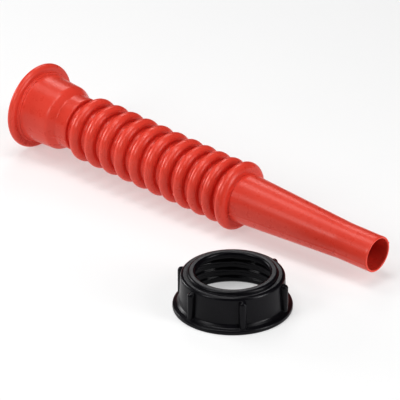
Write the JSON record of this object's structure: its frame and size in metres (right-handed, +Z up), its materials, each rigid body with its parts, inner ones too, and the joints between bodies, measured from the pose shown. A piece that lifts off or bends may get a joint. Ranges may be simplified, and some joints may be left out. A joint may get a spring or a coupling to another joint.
{
  "type": "flexible pouring spout",
  "caption": "Flexible fuel-can pouring spout: flanged socket, ringed bellows hose and tapered nozzle, with its loose screw collar beside it.",
  "frame": {"origin": "centre of the footprint, on the surface that the spout and its collar lie on", "axes": "+X along the spout from its flange to its tip, +Y away from the collar, +Z up"},
  "size_m": [0.2596, 0.1302, 0.0518],
  "materials": {
    "red_plastic": "satin moulded polyethylene",
    "black_plastic": "semi-gloss moulded plastic"
  },
  "bodies": {
    "base": {"base": "red_plastic"},
    "web_00": {"web_00": "red_plastic"},
    "ring_01": {"ring_01": "red_plastic"},
    "web_01": {"web_01": "red_plastic"},
    "ring_02": {"ring_02": "red_plastic"},
    "web_02": {"web_02": "red_plastic"},
    "ring_03": {"ring_03": "red_plastic"},
    "web_03": {"web_03": "red_plastic"},
    "ring_04": {"ring_04": "red_plastic"},
    "web_04": {"web_04": "red_plastic"},
    "ring_05": {"ring_05": "red_plastic"},
    "web_05": {"web_05": "red_plastic"},
    "ring_06": {"ring_06": "red_plastic"},
    "web_06": {"web_06": "red_plastic"},
    "ring_07": {"ring_07": "red_plastic"},
    "web_07": {"web_07": "red_plastic"},
    "ring_08": {"ring_08": "red_plastic"},
    "web_08": {"web_08": "red_plastic"},
    "ring_09": {"ring_09": "red_plastic"},
    "web_09": {"web_09": "red_plastic"},
    "ring_10": {"ring_10": "red_plastic"},
    "web_10": {"web_10": "red_plastic"},
    "nozzle": {"ring_11": "red_plastic", "nozzle": "red_plastic"},
    "collar": {"collar": "black_plastic"}
  },
  "joints": [
    {"name": "side_bend_00", "type": "hinge", "parent": "base", "child": "web_00", "pos_m": [-0.08884, 0.0392, 0.02456], "axis": [0, 0, 1], "range_deg": [-1, 5.5], "stiffness_Nm_per_rad": 6, "deforming": ["web_00"]},
    {"name": "up_bend_00", "type": "hinge", "parent": "web_00", "child": "ring_01", "pos_m": [-0.08884, 0.0392, 0.02456], "axis": [0, -1, 0], "range_deg": [0, 5.5], "stiffness_Nm_per_rad": 6, "deforming": ["web_00"]},
    {"name": "side_bend_01", "type": "hinge", "parent": "ring_01", "child": "web_01", "pos_m": [-0.07715, 0.0392, 0.02415], "axis": [0, 0, 1], "range_deg": [-1, 5.5], "deforming": ["web_01"]},
    {"name": "up_bend_01", "type": "hinge", "parent": "web_01", "child": "ring_02", "pos_m": [-0.07715, 0.0392, 0.02415], "axis": [0, -1, 0], "range_deg": [0, 5.5], "deforming": ["web_01"]},
    {"name": "side_bend_02", "type": "hinge", "parent": "ring_02", "child": "web_02", "pos_m": [-0.06546, 0.0392, 0.02373], "axis": [0, 0, 1], "range_deg": [-1, 5.5], "deforming": ["web_02"]},
    {"name": "up_bend_02", "type": "hinge", "parent": "web_02", "child": "ring_03", "pos_m": [-0.06546, 0.0392, 0.02373], "axis": [0, -1, 0], "range_deg": [0, 5.5], "deforming": ["web_02"]},
    {"name": "side_bend_03", "type": "hinge", "parent": "ring_03", "child": "web_03", "pos_m": [-0.05377, 0.0392, 0.02332], "axis": [0, 0, 1], "range_deg": [-1, 5.5], "deforming": ["web_03"]},
    {"name": "up_bend_03", "type": "hinge", "parent": "web_03", "child": "ring_04", "pos_m": [-0.05377, 0.0392, 0.02332], "axis": [0, -1, 0], "range_deg": [0, 5.5], "deforming": ["web_03"]},
    {"name": "side_bend_04", "type": "hinge", "parent": "ring_04", "child": "web_04", "pos_m": [-0.04207, 0.0392, 0.02291], "axis": [0, 0, 1], "range_deg": [-1, 5.5], "deforming": ["web_04"]},
    {"name": "up_bend_04", "type": "hinge", "parent": "web_04", "child": "ring_05", "pos_m": [-0.04207, 0.0392, 0.02291], "axis": [0, -1, 0], "range_deg": [0, 5.5], "deforming": ["web_04"]},
    {"name": "side_bend_05", "type": "hinge", "parent": "ring_05", "child": "web_05", "pos_m": [-0.03038, 0.0392, 0.0225], "axis": [0, 0, 1], "range_deg": [-1, 5.5], "deforming": ["web_05"]},
    {"name": "up_bend_05", "type": "hinge", "parent": "web_05", "child": "ring_06", "pos_m": [-0.03038, 0.0392, 0.0225], "axis": [0, -1, 0], "range_deg": [0, 5.5], "deforming": ["web_05"]},
    {"name": "side_bend_06", "type": "hinge", "parent": "ring_06", "child": "web_06", "pos_m": [-0.01869, 0.0392, 0.02209], "axis": [0, 0, 1], "range_deg": [-1, 5.5], "deforming": ["web_06"]},
    {"name": "up_bend_06", "type": "hinge", "parent": "web_06", "child": "ring_07", "pos_m": [-0.01869, 0.0392, 0.02209], "axis": [0, -1, 0], "range_deg": [0, 5.5], "deforming": ["web_06"]},
    {"name": "side_bend_07", "type": "hinge", "parent": "ring_07", "child": "web_07", "pos_m": [-0.00734, 0.0392, 0.02169], "axis": [0, 0, 1], "range_deg": [-0.3, 1.65], "deforming": ["web_07"]},
    {"name": "up_bend_07", "type": "hinge", "parent": "web_07", "child": "ring_08", "pos_m": [-0.00734, 0.0392, 0.02169], "axis": [0.0046, -1, -0.0002], "range_deg": [0, 1.65], "deforming": ["web_07"]},
    {"name": "side_bend_08", "type": "hinge", "parent": "ring_08", "child": "web_08", "pos_m": [0.00315, 0.0393, 0.02132], "axis": [0, 0, 1], "range_deg": [-0.3, 1.65], "deforming": ["web_08"]},
    {"name": "up_bend_08", "type": "hinge", "parent": "web_08", "child": "ring_09", "pos_m": [0.00315, 0.0393, 0.02132], "axis": [0.0137, -0.9999, -0.0005], "range_deg": [0, 1.65], "deforming": ["web_08"]},
    {"name": "side_bend_09", "type": "hinge", "parent": "ring_09", "child": "web_09", "pos_m": [0.01364, 0.03949, 0.02095], "axis": [0, 0, 1], "range_deg": [-0.3, 1.65], "deforming": ["web_09"]},
    {"name": "up_bend_09", "type": "hinge", "parent": "web_09", "child": "ring_10", "pos_m": [0.01364, 0.03949, 0.02095], "axis": [0.0229, -0.9997, -0.0008], "range_deg": [0, 1.65], "deforming": ["web_09"]},
    {"name": "side_bend_10", "type": "hinge", "parent": "ring_10", "child": "web_10", "pos_m": [0.02413, 0.03978, 0.02058], "axis": [0, 0, 1], "range_deg": [-0.3, 1.65], "deforming": ["web_10"]},
    {"name": "up_bend_10", "type": "hinge", "parent": "web_10", "child": "nozzle", "pos_m": [0.02413, 0.03978, 0.02058], "axis": [0.032, -0.9995, -0.0011], "range_deg": [0, 1.65], "deforming": ["web_10"]},
    {"name": "collar_turn", "type": "hinge", "parent": "base", "child": "collar", "pos_m": [0.08808, -0.03175, 0.01125], "axis": [0, 0, 1], "continuous": true}
  ],
  "couplings": [
    {"joint": "side_bend_01", "follows": "side_bend_00", "ratio": 1},
    {"joint": "up_bend_01", "follows": "up_bend_00", "ratio": 1},
    {"joint": "side_bend_02", "follows": "side_bend_00", "ratio": 1},
    {"joint": "up_bend_02", "follows": "up_bend_00", "ratio": 1},
    {"joint": "side_bend_03", "follows": "side_bend_00", "ratio": 1},
    {"joint": "up_bend_03", "follows": "up_bend_00", "ratio": 1},
    {"joint": "side_bend_04", "follows": "side_bend_00", "ratio": 1},
    {"joint": "up_bend_04", "follows": "up_bend_00", "ratio": 1},
    {"joint": "side_bend_05", "follows": "side_bend_00", "ratio": 1},
    {"joint": "up_bend_05", "follows": "up_bend_00", "ratio": 1},
    {"joint": "side_bend_06", "follows": "side_bend_00", "ratio": 1},
    {"joint": "up_bend_06", "follows": "up_bend_00", "ratio": 1},
    {"joint": "side_bend_07", "follows": "side_bend_00", "ratio": 0.3},
    {"joint": "up_bend_07", "follows": "up_bend_00", "ratio": 0.3},
    {"joint": "side_bend_08", "follows": "side_bend_00", "ratio": 0.3},
    {"joint": "up_bend_08", "follows": "up_bend_00", "ratio": 0.3},
    {"joint": "side_bend_09", "follows": "side_bend_00", "ratio": 0.3},
    {"joint": "up_bend_09", "follows": "up_bend_00", "ratio": 0.3},
    {"joint": "side_bend_10", "follows": "side_bend_00", "ratio": 0.3},
    {"joint": "up_bend_10", "follows": "up_bend_00", "ratio": 0.3}
  ]
}
